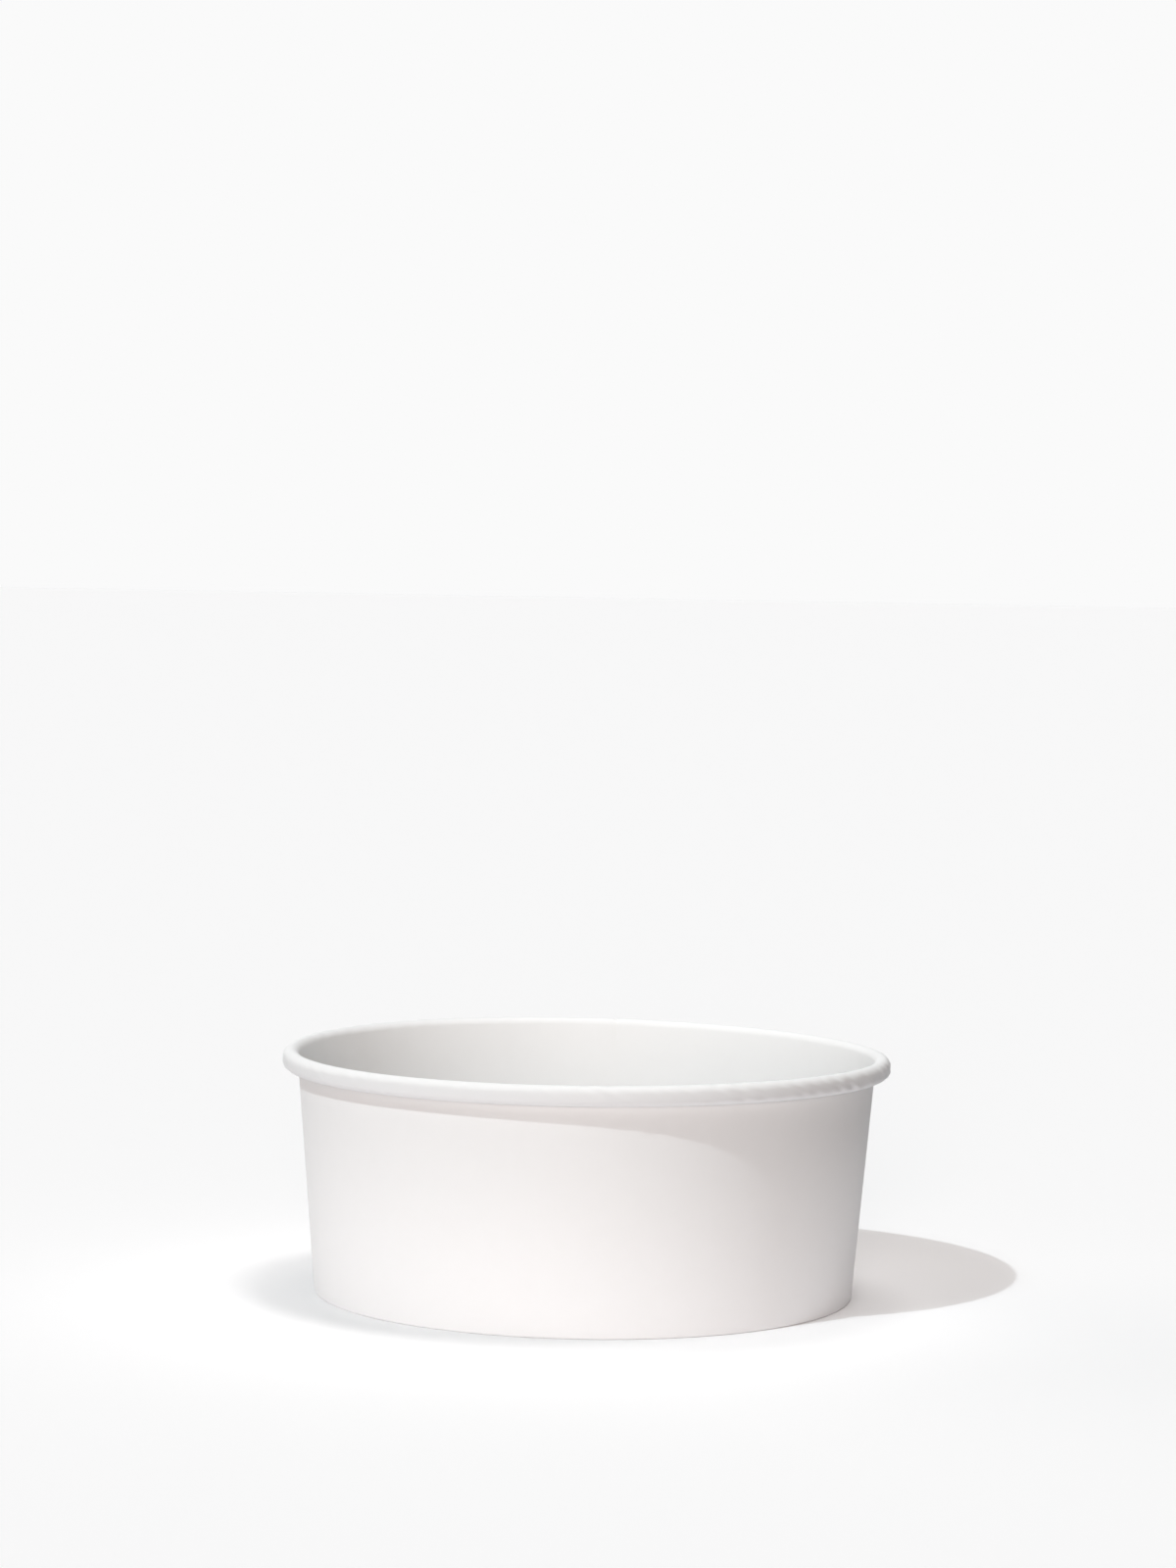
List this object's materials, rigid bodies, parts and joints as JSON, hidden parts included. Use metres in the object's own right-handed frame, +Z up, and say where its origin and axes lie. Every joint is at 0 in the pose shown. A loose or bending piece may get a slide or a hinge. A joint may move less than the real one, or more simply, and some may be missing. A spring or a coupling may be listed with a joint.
{
  "type": "paper soup container",
  "caption": "Squat round paperboard food container, open, with an outward rolled rim, a gently tapered wall, a lapped side seam and a bottom set in above a folded foot.",
  "frame": {"origin": "centre of the foot, on the table", "axes": "+Z up along the container's axis, out of its mouth; -Y towards the viewer of the picture, so the side seam is at the back"},
  "size_m": [0.15, 0.15, 0.06],
  "materials": {
    "wall_board": "satin",
    "bottom_board": "satin"
  },
  "bodies": {
    "root": {"sidewall": "wall_board", "bottom_disc": "bottom_board"}
  },
  "joints": []
}
